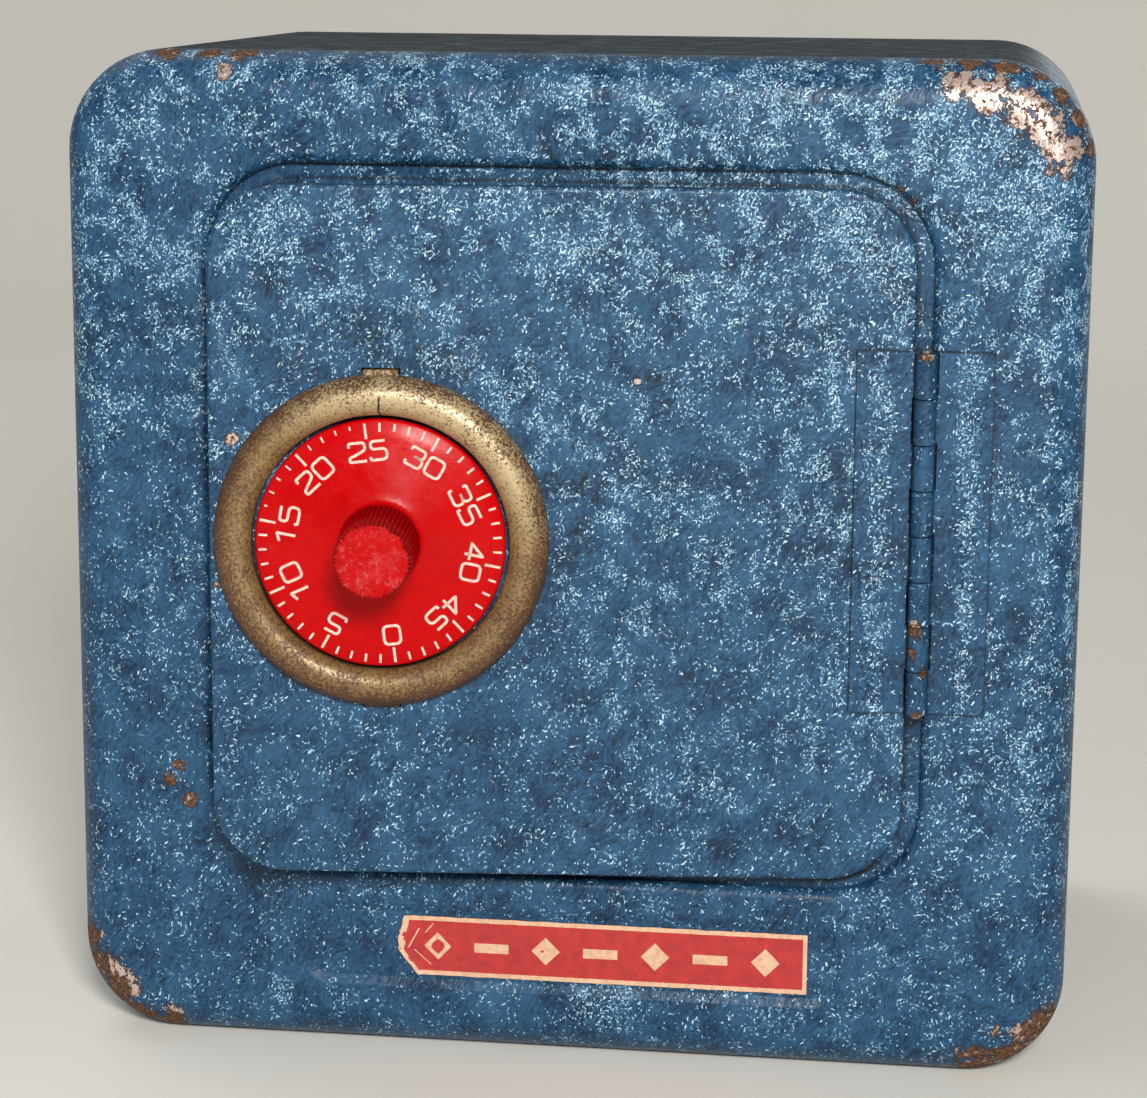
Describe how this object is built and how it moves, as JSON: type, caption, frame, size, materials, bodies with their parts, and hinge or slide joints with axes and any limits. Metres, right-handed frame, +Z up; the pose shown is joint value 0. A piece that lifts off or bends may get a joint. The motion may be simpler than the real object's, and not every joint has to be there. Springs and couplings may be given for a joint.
{
  "type": "combination lock box",
  "caption": "Small square pressed-steel strongbox with a side-hinged front door, a combination dial in a round trim ring, and a wheel-pack lock that frees a sliding bolt.",
  "frame": {"origin": "middle of the case's flat underside", "axes": "+X to the right seen from the front, +Y from the front face to the back, +Z up"},
  "size_m": [0.216, 0.1859, 0.216],
  "materials": {
    "hammer_paint": "blue hammertone enamel with pale flecks, chipped to bare rusty steel at the corners",
    "gold_ring": "gold-lacquered pressed steel, mottled brown with age",
    "red_plastic": "moulded red plastic with stamped cream marks, scuffed on the grip",
    "printed_label": "red printed paper label with a cream border, torn at one end",
    "bare_steel": "plain steel, lightly oiled",
    "lock_brass": "turned and stamped brass",
    "lock_casting": "zinc-plated pressed steel, passivated"
  },
  "bodies": {
    "case": {"front_shell": "hammer_paint", "body_shell": "hammer_paint", "back_panel": "hammer_paint", "label": "printed_label", "strike_plate": "bare_steel", "case_hinge_leaf": "hammer_paint", "hinge_pin": "bare_steel"},
    "door": {"door_panel": "hammer_paint", "door_hinge_leaf": "hammer_paint", "dial_ring": "gold_ring", "spindle_bush": "lock_brass", "weld_studs": "bare_steel", "cover_nuts": "bare_steel", "lock_case": "lock_casting", "lock_cover": "lock_casting", "wheel_post": "lock_casting", "wheel_spacers": "lock_brass", "post_clip": "bare_steel"},
    "dial": {"dial": "red_plastic", "spindle": "bare_steel", "drive_cam": "lock_brass", "cam_nut": "bare_steel"},
    "wheel_1": {"wheel_1": "lock_brass", "fly_1": "bare_steel"},
    "wheel_2": {"wheel_2": "lock_brass", "fly_2": "bare_steel"},
    "wheel_3": {"wheel_3": "lock_brass", "fly_3": "bare_steel"},
    "bolt": {"bolt": "lock_brass", "lever_screw": "bare_steel", "lever_spring": "bare_steel"},
    "lever": {"fence_lever": "bare_steel"}
  },
  "joints": [
    {"name": "door_hinge", "type": "hinge", "parent": "case", "child": "door", "pos_m": [0.075, -0.0773, 0.1189], "axis": [0, 0, 1], "range_deg": [-6.3, 173.7]},
    {"name": "dial_spin", "type": "hinge", "parent": "door", "child": "dial", "pos_m": [-0.03648, -0.08729, 0.116], "axis": [-0.1097, 0.994, 0], "continuous": true},
    {"name": "wheel_1_spin", "type": "hinge", "parent": "door", "child": "wheel_1", "pos_m": [-0.03648, -0.08729, 0.116], "axis": [-0.1097, 0.994, 0], "continuous": true},
    {"name": "wheel_2_spin", "type": "hinge", "parent": "door", "child": "wheel_2", "pos_m": [-0.03648, -0.08729, 0.116], "axis": [-0.1097, 0.994, 0], "continuous": true},
    {"name": "wheel_3_spin", "type": "hinge", "parent": "door", "child": "wheel_3", "pos_m": [-0.03648, -0.08729, 0.116], "axis": [-0.1097, 0.994, 0], "continuous": true},
    {"name": "bolt_slide", "type": "slide", "parent": "door", "child": "bolt", "axis": [-0.994, -0.1097, 0], "range_m": [0, 0.008]},
    {"name": "lever_lift", "type": "hinge", "parent": "bolt", "child": "lever", "pos_m": [-0.04552, -0.08829, 0.1445], "axis": [0.1097, -0.994, 0], "range_deg": [0, 6]}
  ],
  "couplings": [
    {"joint": "wheel_1_spin", "follows": "dial_spin", "ratio": 1},
    {"joint": "wheel_2_spin", "follows": "dial_spin", "ratio": 1},
    {"joint": "wheel_3_spin", "follows": "dial_spin", "ratio": 1}
  ]
}
